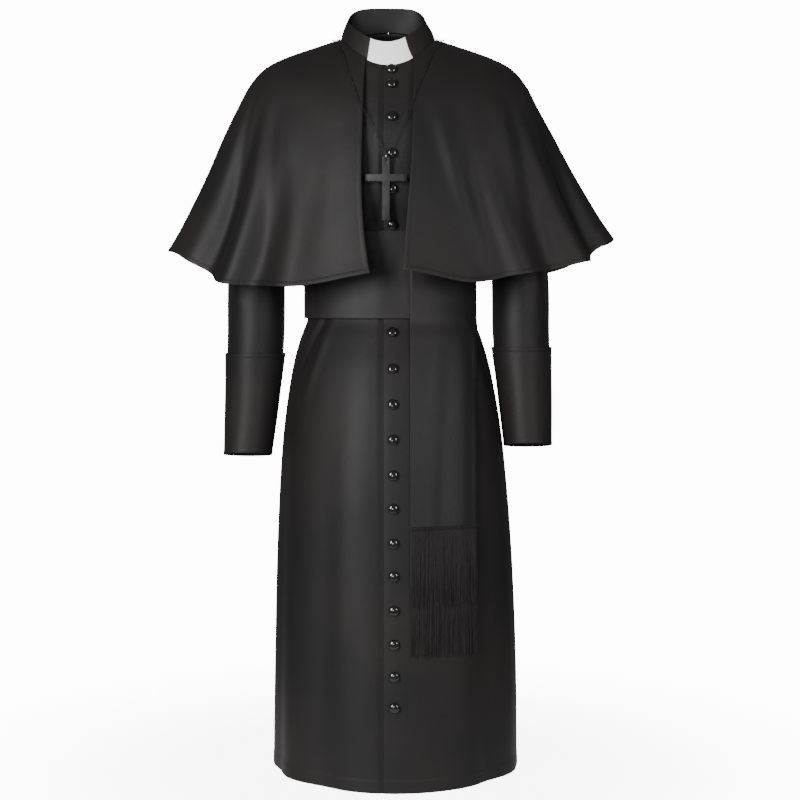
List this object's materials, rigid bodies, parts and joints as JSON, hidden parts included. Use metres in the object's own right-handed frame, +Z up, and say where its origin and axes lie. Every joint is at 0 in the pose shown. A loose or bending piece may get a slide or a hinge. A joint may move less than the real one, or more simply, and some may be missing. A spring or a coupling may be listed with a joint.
{
  "type": "clergy cassock costume with shoulder cape, waist sash and neck cross",
  "caption": "Long button-front robe costume with a stand collar and white tab, elbow-length cape, wide sash with fringed tails, cuffed sleeves and a hanging cross.",
  "frame": {"origin": "inside the collar at the base of the neck, on the middle line of the buttons, where the wearer holds the costume up", "axes": "+Z up along the body, -Y the front, +X towards the wearer's left"},
  "size_m": [0.8141, 0.4137, 1.3961],
  "materials": {
    "robe_cloth": "black polyester twill with a soft satin sheen",
    "sash_cloth": "black satin-faced twill, and its threads",
    "collar_tab": "smooth white plastic insert",
    "buttons": "polished black domes",
    "dark_metal": "dark oxidised metal, finely brushed",
    "bright_metal": "bright plated wire"
  },
  "bodies": {
    "garment": {"robe_front_left": "robe_cloth", "robe_front_right": "robe_cloth", "robe_back": "robe_cloth", "sleeve_right": "robe_cloth", "cuff_right": "robe_cloth", "sleeve_left": "robe_cloth", "cuff_left": "robe_cloth", "collar": "robe_cloth", "cape_right": "robe_cloth", "cape_left": "robe_cloth", "collar_tab": "collar_tab", "sash_front": "sash_cloth", "sash_back": "sash_cloth", "sash_tail_front": "sash_cloth", "sash_tail_rear": "sash_cloth", "fringe_front": "sash_cloth", "fringe_rear": "sash_cloth", "button_01": "buttons", "button_02": "buttons", "button_03": "buttons", "button_04": "buttons", "button_05": "buttons", "button_06": "buttons", "button_07": "buttons", "button_08": "buttons", "button_09": "buttons", "button_10": "buttons", "button_11": "buttons", "button_12": "buttons", "button_13": "buttons", "button_14": "buttons", "button_15": "buttons", "button_16": "buttons", "button_17": "buttons", "button_18": "buttons", "neck_chain_right": "dark_metal", "neck_chain_bow": "dark_metal", "neck_chain_left": "dark_metal", "chain_clasp": "dark_metal"},
    "ring": {"jump_ring": "bright_metal"},
    "cross": {"cross": "dark_metal"}
  },
  "joints": [
    {"name": "ring_tip", "type": "hinge", "parent": "garment", "child": "ring", "pos_m": [-0.0105, -0.1335, -0.2097], "axis": [-1, 0, 0], "range_deg": [0, 75]},
    {"name": "cross_sway", "type": "hinge", "parent": "ring", "child": "cross", "pos_m": [-0.0105, -0.1335, -0.2178], "axis": [0, 1, 0], "range_deg": [-5, 5]}
  ]
}
